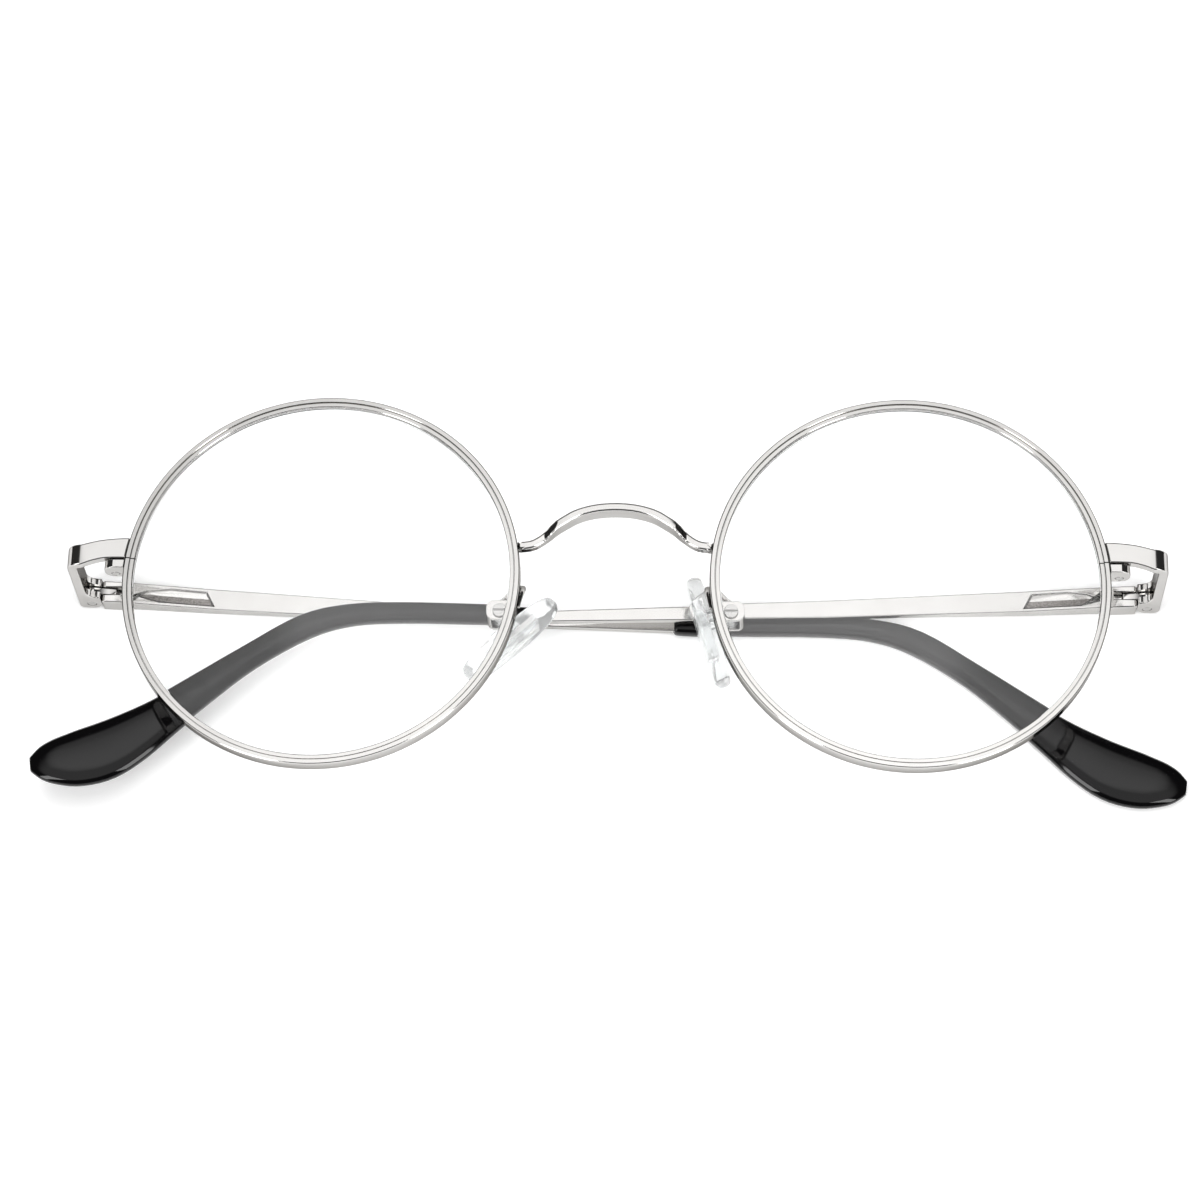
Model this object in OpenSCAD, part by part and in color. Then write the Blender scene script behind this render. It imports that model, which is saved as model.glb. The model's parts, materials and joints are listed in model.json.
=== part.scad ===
// Round metal eyeglasses, lying folded on their temples with the lenses facing up.
// X runs across the front, Y towards the brow, Z up from the surface they lie on.
// Left and right are the wearer's: the left side is at +X.

/* [Lenses and rims] */
// Outside diameter of a rim
rim_d = 51.5; // [44:0.1:56]
// Width of the rim as seen from the front
rim_w = 1.3; // [1.1:0.05:2]
// Depth of the rim from front to back
rim_depth = 2.06; // [1.8:0.01:3]
// Distance from the middle of the bridge to each lens centre
lens_half = 37.94; // [36:0.01:42]
// Turn of each lens plane about the vertical, outer side back
wrap = 2; // [0:0.1:6]
// Depth of the groove that holds the lens
groove = 0.55; // [0.3:0.01:0.7]
// How far the middle of the lens stands in front of the rim
lens_bulge = 1.4; // [0.8:0.05:1.8]
// Radius of the lens's front surface
lens_radius = 165; // [120:1:400]
// Thickness of the lens at its middle
lens_t = 1.5; // [1.2:0.05:1.8]
// Width of the split that lets the rim open for the lens
split = 0.16; // [0.1:0.01:0.3]

/* [Bridge] */
// Thickness of the bridge bar, seen from the front
bridge_t = 1.15; // [0.8:0.05:1.8]
// Depth of the bridge bar from front to back
bridge_depth = 2.5; // [1.6:0.05:3.2]
// Height of the bridge bar's middle above the lens centres
bridge_rise = 10.05; // [8:0.05:12]

/* [Endpieces and rim locks] */
// Height of the endpiece strap
strap_h = 2.85; // [2.4:0.05:3.2]
// Thickness of the endpiece strap
strap_t = 1.3; // [1:0.05:1.6]
// How far the endpieces reach out beside the rims
strap_reach = 7.51; // [7:0.01:9]
// How far the strap's face lies behind the rim's front plane
strap_back = 1.15; // [0.8:0.05:1.5]
// Radius of the strap's outer corner
strap_r = 1.9; // [1.5:0.1:3]
// Reach of the rim lock blocks beside the rim
lock_reach = 2.55; // [2:0.05:3]
// Radius of the rim lock screw
lock_screw_r = 0.5; // [0.4:0.05:0.6]

/* [Hinges and temples] */
// Height of the front plane of the rims above the surface
front_h = 15; // [14.5:0.1:18]
// Height of each hinge pin above the temple's outer face
hinge_z = 1.6; // [1.6:0.05:1.8]
// Radius of the hinge barrel
barrel_r = 1.3; // [1.2:0.05:1.35]
// Radius of the hinge screw's shaft
pin_r = 0.6; // [0.4:0.05:0.7]
// Thickness of the hinge tongue
tongue_t = 0.9; // [0.7:0.05:1]
// How far the left temple tilts up, because it lies on the right one
left_tilt = 2.3; // [2.2:0.1:2.6]
// Thickness of the temple at its hinge end
housing_t = 2.7; // [2.4:0.05:3]
// Thickness of the temple bar behind the housing
bar_t = 1; // [0.8:0.05:1.2]
// Height of the temple bar where the tip begins
bar_h = 1.56; // [1.4:0.02:1.8]
// Downward slope of the temple bar towards the tip, in degrees
bar_slope = 3.25; // [2:0.05:4]
// Distance from the hinge pin to the front end of the tip
tip_start = 77; // [74:0.5:82]
// How much further along the left tip sits than the right one
left_extra = 1.4; // [0:0.1:2]
// Thickness of the plastic tip
tip_t = 2.1; // [1.9:0.05:2.4]
// Travel of the sprung hinge
flex_travel = 1.2; // [0.6:0.1:1.25]

/* [Nose pads] */
// Length of a nose pad
pad_l = 15.5; // [13:0.1:16]
// Width of a nose pad
pad_w = 7.5; // [6:0.1:7.6]
// Thickness of a nose pad
pad_t = 2.2; // [1.8:0.05:2.6]
// Angle of the left pad from upright as it lies, in degrees
left_pad_turn = 16; // [12:1:50]
// Angle of the right pad from upright as it lies, in degrees
right_pad_turn = 47; // [12:1:50]
// Thickness of the pad arm's wire
arm_d = 0.7; // [0.6:0.02:0.9]

/* [Hidden] */
// Gap left for braze between two metal pieces
braze = 0.02;
// Radial running clearance of a pin in its hole
fit = 0.03;
// Sideways clearance of a tongue or lug between two cheeks
side_fit = 0.05;
// Overrun of a cutting shape past the face that it cuts
over = 1;

rim_r = rim_d / 2;
rim_in = rim_r - rim_w;
rim_mid = rim_depth / 2;
// Where the rims come nearest to the nose
nose_x = lens_half - rim_r;
groove_mouth = 0.47;
groove_floor = 0.09;
edge_chamfer = 0.15;
// The rim's front: how far its inner edge and its inner half lie behind the outer half, and the step's place
face_edge = 0.22;
face_step = 0.12;
face_step_w = 0.05;
face_step_r = rim_in + 0.6;

lens_fit = 0.05;
lens_gap = 0.1;
lens_edge = rim_in - lens_gap;
// Number of sides of the lens's large spheres, of a tip and of a pad
lens_sides = 360;
tip_sides = 28;
pad_sides = 40;

metal = [0.80, 0.79, 0.78];
steel = [0.72, 0.72, 0.72];
black = [0.05, 0.05, 0.05];
clear_glass = [0.93, 0.96, 0.97];
clear_soft = [0.90, 0.93, 0.93];
clear_hard = [0.93, 0.94, 0.94];
// Number of sides of a small round wire
wire_sides = 14;

// Height of the hinge's middle on the Y axis, and of the strap where it leaves the rim
hinge_y = 3.3;
strap_y = 4.52;
// Where the split lies, just under the strap
split_drop = 0.09;
split_y = strap_y - strap_h / 2 - split_drop;
block_h = 2.9;
// How far the strap's outer face and the hinge pin lie from the middle
strap_x = lens_half + rim_r + strap_reach;
hinge_in = 1.7;
hinge_x = strap_x - hinge_in;
block_x = hinge_x - barrel_r;
block_back = hinge_z - barrel_r;
strap_face = front_h - strap_back;
strap_in = strap_x - strap_t;
// Cove where the hinge block leaves the strap
cove_r = strap_in - block_x;
cove_z = hinge_z + 3.5;
heel_r = 1;
// The strap's upper and lower edges: [how far before its corner, how far the edge has fallen there]
strap_upper = [[4.8, 0.05], [2.3, 0.35]];
strap_lower = [[3.5, 0.03], [1.7, 0.38]];
// The lower edge stays level over the rim lock, as measured from the lock's end
strap_level = [-0.44, 0.8];
// Height above the pin up to which the turned-back leg is straight
leg_straight = 3;
// How much higher the strap's corner stands than the hinge
corner_rise = 0.25;
slot_h = tongue_t + 2 * side_fit;
screw_head_r = 0.95;
screw_head_h = 0.35;
screw_head_fit = 0.05;
screw_slot = 0.22;

// Rim lock: how far its back lies behind the rims' front plane, its screw's place, its lower and upper end
lock_back = -4.3;
lock_gap = 0.05;
lock_r = 1.2;
lock_end = lens_half + rim_r + lock_reach;
lock_z = (lock_back - strap_back - strap_t) / 2;
lock_x = lens_half + rim_r + 1.2;
lock_low = 1.75;
lock_top = strap_y + 0.5;
lock_head_r = lock_screw_r + 0.3;
lock_head_h = 0.5;

// Bridge: its fall from the middle to the rims, the height where it meets them and its half span
bridge_drop = 5.3;
bridge_foot = bridge_rise - bridge_drop;
bridge_end = lens_half - sqrt(rim_r * rim_r - bridge_foot * bridge_foot) + 0.75 * rim_w;
// How far its front face stands before the rims' front plane, and falls back to at the rims
bridge_face = 0.32;
bridge_dip = -0.45;
// How much less deep it is at the rims, from the back
bridge_thin = 0.35;
// The bridge's line from the middle to a rim: [share of the half span, share of the fall]
bridge_shape = [
    [0, 0], [0.184, 0.038], [0.353, 0.16], [0.471, 0.33], [0.581, 0.528],
    [0.654, 0.708], [0.721, 0.849], [0.801, 0.953], [0.912, 0.991], [1, 1]
];
// Front and back of the bridge: [share of the half span, share of the change from the rims to the middle]
bridge_relief = [[1.03, 0], [0.66, 0], [0.62, 0.5], [0.57, 0.88], [0.44, 1]];

// Gap between the folded temple's end and the hinge block
end_fit = 0.05;
end_u = barrel_r + end_fit;
end_chamfer = 0.25;
slot_end = 4.5;
slot_floor = 0.35;
// Where the tongue steps down, and where its wide part ends
tongue_step = 3.2;
tongue_end = slot_end - 2 * side_fit;
chamber_r = 0.56;
chamber_w = 0.9;
chamber_start = 5;
// The tongue's upper edge: the fall's length, and its height above the pin before and after the fall
tongue_fall = 1;
tongue_root = 0.75;
tongue_neck = 0.6;
rod_r = 0.25;
stop_r = 0.5;
stop_t = 0.4;
spring_wire = 0.18;
spring_turns = 5;
spring_steps = 20;
spring_gap = 0.1;
spring_start = chamber_start + spring_gap;
spring_len = 2.4;
// The rod ends where the stop just clears the spring when the hinge is pulled right out
rod_spare = 0.2;
rod_end = spring_start + spring_len + flex_travel + stop_t + rod_spare;
chamber_end = rod_end + 2 * rod_spare;
// The scooped panel in the temple's inner face
scoop_from = 6;
scoop_to = 16.2;
scoop_depth = 0.3;
scoop_half = 0.95;
// Its outline at the front: [distance from its point, share of its half height]
scoop_point = [[3, -1], [0, -0.32], [2, 0.55], [4.5, 1]];
// How much sooner it ends at the top than at the bottom
scoop_slant = 1;
// The bar inside the tip, and how deep it goes in
core_len = 41;
core_nose = 0.5;
// How far the full-sized bar would lap the tip, before it is narrowed
tip_lap = 2;
core_half = 0.65;
core_fit = 0.05;
core_w = 0.5;

// The temple bar: [distance from the pin, half height, outer face, inner face, rise above a straight line]
bar_stations = [
    [end_u, 1.5, 0, housing_t - end_chamfer, 0],
    [end_u + end_chamfer, 1.5, 0, housing_t, 0],
    [slot_end, 1.5, 0, housing_t, 0],
    [5.6, 1.48, 0, 2.2, 0],
    [16.5, 1.45, 0, 1.6, 0],
    [25, 1.38, 0.25, core_w + bar_t, 0],
    [31, 1.32, 0.4, core_w + bar_t, -0.05],
    [42, 1.2, core_w, core_w + bar_t, -0.12],
    [52, 1.08, core_w, core_w + bar_t, -0.06],
    [62, 0.94, core_w, core_w + bar_t, 0.06],
    [70, 0.85, core_w, core_w + bar_t, 0.18],
    [tip_start, bar_h / 2, core_w, core_w + bar_t, 0.28]
];
// The tip: [distance from its front end, height of its middle, half width, share of its half thickness]
tip_stations = [
    [0, -0.85, 0.88, 0.85],
    [1.2, -0.85, 1.12, 0.97],
    [9, -0.87, 1.35, 1],
    [19, -0.88, 1.4, 1],
    [26, -1.4, 1.5, 1],
    [31.8, -3.2, 1.72, 1],
    [38.7, -7.6, 1.72, 1],
    [44.7, -12.2, 2.2, 1],
    [49.3, -15.9, 2.75, 1],
    [53.2, -18.8, 3.5, 1],
    [56.7, -20.9, 3.95, 1],
    [59.9, -22, 3.8, 0.97],
    [62.7, -22.5, 3.15, 0.9],
    [64.7, -22.8, 2.25, 0.74],
    [66.1, -23, 0.95, 0.45]
];

// How square the tip's section and the pad's outline are: 1 is round, and less is squarer
tip_square = [0.75, 0.65];
pad_square = [0.9, 0.85];

// Pivot of the nose pad, and the pad's place from it along and across its length
pivot = [nose_x + 2.81, -2.7];
pad_along = 1.2;
pad_off = 3.6;
pad_z = -6.3;
box_front = -4.9;
box_back = -8.5;
box_wall = 0.5;
box_in = 1.7;
box_out = 1.75;
box_round = 1;
box_low = 1.2;
box_top = 1.5;
lug_r = 0.95;
lug_web = 1.1;
// Room in the box round the lug, outwards and upwards
lug_room = [0.15, 0.12];
pad_pin_r = 0.4;
pad_pin_end = 0.1;
pad_head_r = 0.92;
pad_head_h = 0.35;
// The pad from its back to its face on the nose: [share of its thickness, share of its outline]
pad_layers = [
    [0, 0.88], [0.08, 0.95], [0.25, 0.99], [0.5, 1],
    [0.7, 0.97], [0.84, 0.89], [0.94, 0.75], [1, 0.5]
];
// Where the arm's wire leaves the rim:
// [turn round the lens, depth behind the rim's front, share of its thickness]
arm_feet = [[9, 1.2, 0.5], [6, 1.5, 0.65], [3.5, 2, 0.85]];
// The arm's loop, from the rims' nose side: [outwards, up, forwards]
arm_loop = [[-0.33, -0.35, -2.65], [0.1, 0, -3.5], [0.85, 0.05, -4.3], [1.55, -0.4, -4.95]];
// The arm's end lies along the top of the pad box
arm_end_y = pivot[1] + box_top + braze + arm_d / 2;
arm_end = [[2.05, arm_end_y + 0.07, -5.5], [2.45, arm_end_y, -6.1], [2.9, arm_end_y, -7]];
insert_l = 8;
insert_t = 0.8;
insert_w = 3;
insert_fit = 0.02;

$fn = 96;

// A point on a smooth curve between the second and third of four points
function between(a, b, c, d, t) =
    0.5 * (2 * b + (c - a) * t + (2 * a - 5 * b + 4 * c - d) * t * t + (3 * b - a - 3 * c + d) * t * t * t);
// A smooth curve through a list of points, with n steps from each point to the next
function smooth(p, n) = [
    for (i = [0 : len(p) - 2], k = [0 : n - 1])
        between(p[max(i - 1, 0)], p[i], p[i + 1], p[min(i + 2, len(p) - 1)], k / n),
    p[len(p) - 1]
];
// Direction of a path at its point i
function heading(p, i) =
    let (d = p[min(i + 1, len(p) - 1)] - p[max(i - 1, 0)]) d / norm(d);
// A flat path moved sideways, by one distance or by each point's own
function beside(p, d) = [
    for (i = [0 : len(p) - 1])
        let (t = heading(p, i)) p[i] + (is_list(d) ? d[i] : d) * [-t[1], t[0]]
];
function backwards(p) = [for (i = [len(p) - 1 : -1 : 0]) p[i]];
// Outline of a strip that follows a flat path
function strip(p, d) = concat(beside(p, d), backwards(beside(p, -d)));
// A sine or cosine made squarer, with its sign kept
function squarish(share, power) = sign(share) * pow(abs(share), power);
// Points on an arc, with n steps
function arc(c, r, from, to, n) = [
    for (i = [0 : n]) let (a = from + (to - from) * i / n) c + r * [cos(a), sin(a)]
];

// A skin over a row of rings with the same number of points
module skin(rings) {
    n = len(rings[0]);
    m = len(rings);
    sides = [
        for (i = [0 : m - 2], k = [0 : n - 1])
            let (a = i * n + k, b = i * n + (k + 1) % n)
                each [[a, b, b + n], [a, b + n, a + n]]
    ];
    ends = [[for (k = [n - 1 : -1 : 0]) k], [for (k = [0 : n - 1]) (m - 1) * n + k]];
    polyhedron(points = [for (r = rings) each r], faces = concat(sides, ends), convexity = 6);
}

// A round wire along a path, of one radius or each point's own; side is a direction that the path never takes
module wire(path, r, side) {
    skin([
        for (i = [0 : len(path) - 1])
            let (
                t = heading(path, i), a = cross(side, t) / norm(cross(side, t)), b = cross(t, a),
                thick = is_list(r) ? r[i] : r
            )
                [for (k = [0 : wire_sides - 1])
                    let (w = 360 * k / wire_sides) path[i] + thick * (cos(w) * a + sin(w) * b)]
    ]);
}

// Draws the left side's shape, or its mirror image for the right
module sided(side) {
    if (side > 0) {
        children();
    } else {
        mirror([1, 0, 0]) children();
    }
}

module at_lens() {
    translate([lens_half, 0, front_h]) rotate([0, wrap, 0]) children();
}

// A point in the lens's own directions, as measured from the rims' front plane
function from_lens(p) = [
    lens_half + p[0] * cos(wrap) + p[2] * sin(wrap), p[1], p[2] * cos(wrap) - p[0] * sin(wrap)
];

// Everything inside the rim's outer wall, for trimming what is brazed to it
module rim_room(deep) {
    at_lens() translate([0, 0, -deep]) cylinder(r = rim_r + braze, h = deep + rim_depth);
}

module rim_profile() {
    polygon([
        [rim_in, -face_edge],
        [face_step_r - face_step_w, -face_step],
        [face_step_r, 0],
        [rim_r - edge_chamfer, 0],
        [rim_r, -edge_chamfer],
        [rim_r, -rim_depth + edge_chamfer],
        [rim_r - edge_chamfer, -rim_depth],
        [rim_in + edge_chamfer, -rim_depth],
        [rim_in, -rim_depth + edge_chamfer],
        [rim_in, -rim_mid - groove_mouth],
        [rim_in + groove, -rim_mid - groove_floor],
        [rim_in + groove, -rim_mid + groove_floor],
        [rim_in, -rim_mid + groove_mouth]
    ]);
}

module rim(side) {
    color(metal) sided(side) difference() {
        at_lens() rotate_extrude() rim_profile();
        at_lens() translate([rim_in - over, split_y - split / 2, -rim_depth - over])
            cube([rim_w + 2 * over, split, rim_depth + 2 * over]);
    }
}

module lens(side) {
    bevel = groove - lens_fit + (rim_in - lens_edge);
    color(clear_glass) sided(side) at_lens() difference() {
        intersection() {
            rotate_extrude() polygon([
                [0, -4 * lens_t],
                [lens_edge, -4 * lens_t],
                [lens_edge, -rim_mid - groove_mouth],
                [lens_edge + bevel, -rim_mid],
                [lens_edge, -rim_mid + groove_mouth],
                [lens_edge, 4 * lens_t],
                [0, 4 * lens_t]
            ]);
            translate([0, 0, lens_bulge - lens_radius]) sphere(r = lens_radius, $fn = lens_sides);
        }
        translate([0, 0, lens_bulge - lens_radius]) sphere(r = lens_radius - lens_t, $fn = lens_sides);
    }
}

module bridge() {
    half = [for (p = bridge_shape) [p[0] * bridge_end, bridge_rise - p[1] * bridge_drop]];
    line = smooth(concat([for (i = [len(half) - 1 : -1 : 1]) [-half[i][0], half[i][1]]], half), 4);
    // the front face stands proud in the middle, and the back is nearer to it at the rims
    front = [for (p = bridge_relief) [p[0] * bridge_end, bridge_dip + p[1] * (bridge_face - bridge_dip)]];
    back = [
        for (p = bridge_relief)
            [p[0] * bridge_end, bridge_face - bridge_depth + (1 - p[1]) * bridge_thin]
    ];
    color(metal) difference() {
        intersection() {
            translate([0, 0, front_h - 2 * bridge_depth]) linear_extrude(4 * bridge_depth)
                polygon(strip(line, bridge_t / 2));
            translate([0, 2 * bridge_rise, front_h]) rotate([90, 0, 0])
                linear_extrude(2 * bridge_rise) polygon(concat(
                    [for (p = front) [-p[0], p[1]]], backwards(front),
                    back, backwards([for (p = back) [-p[0], p[1]]])
                ));
        }
        rim_room(rim_r);
        mirror([1, 0, 0]) rim_room(rim_r);
    }
}

// The strap with its turned-back end and hinge block, seen along Y
module endpiece_side_outline() {
    corner = [strap_x - strap_r, strap_face - strap_r];
    inner_r = strap_r - strap_t;
    polygon(concat(
        [[lens_half + rim_in, strap_face]],
        arc(corner, strap_r, 90, 0, 12),
        arc([strap_x - heel_r, block_back + heel_r], heel_r, 0, -90, 6),
        arc([hinge_x, hinge_z], barrel_r, -90, -180, 12),
        arc([block_x, cove_z], cove_r, -90, 0, 10),
        arc(corner, inner_r, 0, 90, 6),
        [[lens_half + rim_in, strap_face - strap_t]]
    ));
}

// The strap's front leg, seen along Z
module strap_front_outline() {
    turn = strap_x - strap_r;
    end_y = hinge_y + corner_rise;
    top_y = strap_y + strap_h / 2;
    low_y = strap_y - strap_h / 2;
    top = smooth(concat(
        [[lens_half + rim_in, top_y]],
        [for (p = strap_upper) [turn - p[0], top_y - p[1]]],
        [[turn, end_y + block_h / 2]]
    ), 5);
    low = smooth(concat(
        [[lens_half + rim_in, low_y]],
        [for (i = [0, 1])
            [max(turn - strap_lower[i][0], lock_end + strap_level[i]), low_y - strap_lower[i][1]]],
        [[turn, end_y - block_h / 2]]
    ), 5);
    polygon(concat(
        top, [[strap_x + over, end_y + block_h / 2], [strap_x + over, end_y - block_h / 2]], backwards(low)
    ));
}

// The turned-back leg, seen along X: it falls a little towards the hinge
module strap_back_outline() {
    top_z = strap_face - strap_r;
    end_y = hinge_y + corner_rise;
    polygon([
        [end_y - block_h / 2, top_z], [hinge_y - block_h / 2, hinge_z + leg_straight],
        [hinge_y - block_h / 2, -over], [hinge_y + block_h / 2, -over],
        [hinge_y + block_h / 2, hinge_z + leg_straight], [end_y + block_h / 2, top_z]
    ]);
}

module endpiece(side) {
    low = strap_face - strap_r;
    color(metal) sided(side) difference() {
        intersection() {
            translate([0, 2 * hinge_x, 0]) rotate([90, 0, 0])
                linear_extrude(4 * hinge_x) endpiece_side_outline();
            union() {
                translate([0, 0, low]) linear_extrude(2 * strap_r) strap_front_outline();
                translate([block_x - over, 0, 0]) rotate([90, 0, 90])
                    linear_extrude(strap_x - block_x + 2 * over) strap_back_outline();
            }
        }
        rim_room(rim_r);
        // room for the tongue between the two knuckles: below the strap, and behind and round the pin
        translate([block_x - over, hinge_y - slot_h / 2, -over])
            cube([strap_in - block_x + over, slot_h, cove_z + cove_r + over]);
        translate([block_x - over, hinge_y - slot_h / 2, -over])
            cube([hinge_x + barrel_r - block_x + over, slot_h, hinge_z + over]);
        translate([hinge_x, hinge_y + slot_h / 2, hinge_z]) rotate([90, 0, 0])
            cylinder(r = barrel_r, h = slot_h);
        hinge_bore();
    }
}

// Hole for the hinge screw, with a countersink for its head on the brow side
module hinge_bore() {
    top = hinge_y + block_h / 2;
    translate([hinge_x, top + over, hinge_z]) rotate([90, 0, 0])
        cylinder(r = pin_r + fit, h = block_h + 2 * over);
    translate([hinge_x, top + over, hinge_z]) rotate([90, 0, 0])
        cylinder(r = screw_head_r + fit, h = screw_head_h + screw_head_fit + over);
}

module hinge_screw(side) {
    top = hinge_y + block_h / 2;
    low = hinge_y - block_h / 2;
    color(steel) sided(side) difference() {
        union() {
            translate([hinge_x, top, hinge_z]) rotate([90, 0, 0]) cylinder(r = pin_r, h = top - low);
            translate([hinge_x, top, hinge_z]) rotate([90, 0, 0])
                cylinder(r = screw_head_r, h = screw_head_h);
        }
        translate([hinge_x - screw_head_r - over, top - screw_slot, hinge_z - screw_slot / 2])
            cube([2 * (screw_head_r + over), screw_slot + over, screw_slot]);
    }
}

// Seen along Y: a block that starts inside the rim and has a round outer end
module lock_outline(z_front, z_back) {
    r = min((z_front - z_back) / 2, lock_r);
    polygon(concat(
        [[lens_half + rim_in, z_back], [lens_half + rim_in, z_front]],
        arc([lock_end - r, z_front - r], r, 90, 0, 6),
        arc([lock_end - r, z_back + r], r, 0, -90, 6)
    ));
}

module lock_block(z_front, low, top, hole_r) {
    difference() {
        translate([0, top, front_h]) rotate([90, 0, 0]) linear_extrude(top - low)
            lock_outline(z_front, lock_back);
        rim_room(rim_r);
        translate([lock_x, top + over, front_h + lock_z]) rotate([90, 0, 0])
            cylinder(r = hole_r, h = top - low + 2 * over);
    }
}

module rim_lock_upper(side) {
    color(metal) sided(side)
        lock_block(-strap_back - strap_t - braze, split_y + split / 2, lock_top, lock_screw_r + fit);
}

module rim_lock_lower(side) {
    color(metal) sided(side)
        lock_block(-strap_back - lock_gap, lock_low, split_y - split / 2, lock_screw_r + fit);
}

module rim_lock_screw(side) {
    color(steel) sided(side) difference() {
        union() {
            translate([lock_x, lock_top, front_h + lock_z]) rotate([90, 0, 0])
                cylinder(r = lock_screw_r, h = lock_top - lock_low);
            translate([lock_x, lock_top + braze + lock_head_h, front_h + lock_z]) rotate([90, 0, 0])
                cylinder(r = lock_head_r, h = lock_head_h);
            translate([lock_x, lock_top + braze, front_h + lock_z]) rotate([90, 0, 0])
                cylinder(r = lock_screw_r, h = 2 * braze);
        }
        translate([lock_x, lock_top + braze + lock_head_h + over - screw_slot, front_h + lock_z])
            cube([3 * lock_head_r, 2 * over, screw_slot], center = true);
    }
}

// Draws a temple's shape, with X from the pin along the temple, Y up the face and Z from its outer face
module at_temple(side) {
    tilt = side > 0 ? left_tilt : 0;
    sided(side) translate([hinge_x, 0, hinge_z]) mirror([1, 0, 0])
        rotate([0, -tilt, 0]) translate([0, 0, -hinge_z]) children();
}

// Height of a straight bar's middle at a distance from the pin
function bar_y(u) = hinge_y - tan(bar_slope) * u;
// Distance from the pin to the front end of a side's tip
function tip_front(side) = tip_start + (side > 0 ? left_extra : 0);
// A side's bar, which runs a little way into its tip
function bar_of(side) =
    let (last = bar_stations[len(bar_stations) - 1])
        concat(bar_stations, [[tip_front(side) + tip_lap, last[1], last[2], last[3], last[4]]]);
tip_line = smooth(tip_stations, 4);

// The narrow end of the bar inside the tip
module core(side, room) {
    front = tip_front(side);
    inside = [for (s = tip_line) if (s[0] <= core_len) [front + s[0], s[1]]];
    last = inside[len(inside) - 1];
    line = concat(
        [[front - tip_lap, bar_y(front - tip_lap) + bar_stations[len(bar_stations) - 1][4]]],
        inside,
        [last + (core_nose + room) * heading(inside, len(inside) - 1)]
    );
    translate([0, 0, core_w - room]) linear_extrude(bar_t + 2 * room) polygon(strip(line, core_half + room));
}

module bar_face_outline(side) {
    bar = bar_of(side);
    polygon(concat(
        [for (s = bar) [s[0], bar_y(s[0]) + s[4] + s[1]]],
        [for (s = backwards(bar)) [s[0], bar_y(s[0]) + s[4] - s[1]]]
    ));
}

module bar_edge_outline(side) {
    bar = bar_of(side);
    polygon(concat([for (s = bar) [s[0], s[3]]], [for (s = backwards(bar)) [s[0], s[2]]]));
}

// The scooped panel: pointed at the hinge end, cut slantwise at the other
module scoop() {
    near = bar_stations[3];
    far = bar_stations[4];
    slope = atan((near[3] - far[3]) / (far[0] - near[0]));
    intersection() {
        linear_extrude(2 * housing_t) polygon(concat(
            [for (p = scoop_point) [scoop_from + p[0], bar_y(scoop_from + p[0]) + p[1] * scoop_half]],
            [
                [scoop_to - scoop_slant, bar_y(scoop_to) + scoop_half],
                [scoop_to, bar_y(scoop_to) - scoop_half]
            ]
        ));
        translate([near[0], -2 * hinge_x, near[3] - scoop_depth]) rotate([0, slope, 0])
            cube([2 * (far[0] - near[0]), 4 * hinge_x, housing_t]);
    }
}

module temple_bar(side) {
    color(metal) at_temple(side) difference() {
        union() {
            intersection() {
                linear_extrude(housing_t + over) bar_face_outline(side);
                translate([0, hinge_x, 0]) rotate([90, 0, 0]) linear_extrude(2 * hinge_x)
                    bar_edge_outline(side);
            }
            difference() {
                core(side, 0);
                translate([0, -hinge_x, -over]) cube([tip_front(side), 2 * hinge_x, housing_t + 2 * over]);
            }
        }
        // the bar is narrowed where the tip slides over it
        difference() {
            translate([tip_front(side), -hinge_x, -over])
                cube([tip_lap + over, 2 * hinge_x, housing_t + 2 * over]);
            core(side, 0);
        }
        translate([0, hinge_y - slot_h / 2, slot_floor]) cube([slot_end, slot_h, housing_t]);
        translate([slot_end - over, hinge_y, chamber_w]) rotate([0, 90, 0])
            cylinder(r = rod_r + fit, h = chamber_start - slot_end + 2 * over);
        translate([chamber_start, hinge_y, chamber_w]) rotate([0, 90, 0])
            cylinder(r = chamber_r, h = chamber_end - chamber_start);
        scoop();
    }
}

module temple_tip(side) {
    line = [for (s = tip_line) [tip_front(side) + s[0], s[1]]];
    color(black) at_temple(side) difference() {
        skin([
            for (i = [0 : len(tip_line) - 1])
                let (s = tip_line[i], t = heading(line, i), thick = tip_t / 2 * s[3])
                    [for (k = [0 : tip_sides - 1])
                        let (
                            a = -360 * k / tip_sides,
                            across = squarish(cos(a), tip_square[0]) * s[2],
                            up = squarish(sin(a), tip_square[1]) * thick
                        )
                            [line[i][0] - t[1] * across, line[i][1] + t[0] * across, tip_t / 2 + up]]
        ]);
        core(side, core_fit);
    }
}

// The tongue's eye and bar, seen along Y, and the rod that carries the spring
module hinge_tongue(side) {
    color(metal) at_temple(side) difference() {
        union() {
            translate([0, hinge_y + tongue_t / 2, hinge_z]) rotate([90, 0, 0])
                cylinder(r = barrel_r - side_fit, h = tongue_t);
            translate([0, hinge_y + tongue_t / 2, 0]) rotate([90, 0, 0]) linear_extrude(tongue_t) polygon([
                [0, hinge_z + barrel_r - side_fit], [tongue_step - tongue_fall, hinge_z + tongue_root],
                [tongue_step, hinge_z + tongue_neck], [tongue_step, hinge_z - 2 * side_fit],
                [tongue_end, hinge_z - 2 * side_fit], [tongue_end, slot_floor + side_fit],
                [0, slot_floor + side_fit]
            ]);
            translate([tongue_step, hinge_y, chamber_w]) rotate([0, 90, 0])
                cylinder(r = rod_r, h = rod_end - tongue_step);
        }
        translate([0, hinge_y + block_h, hinge_z]) rotate([90, 0, 0])
            cylinder(r = pin_r + fit, h = 2 * block_h);
    }
}

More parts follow.
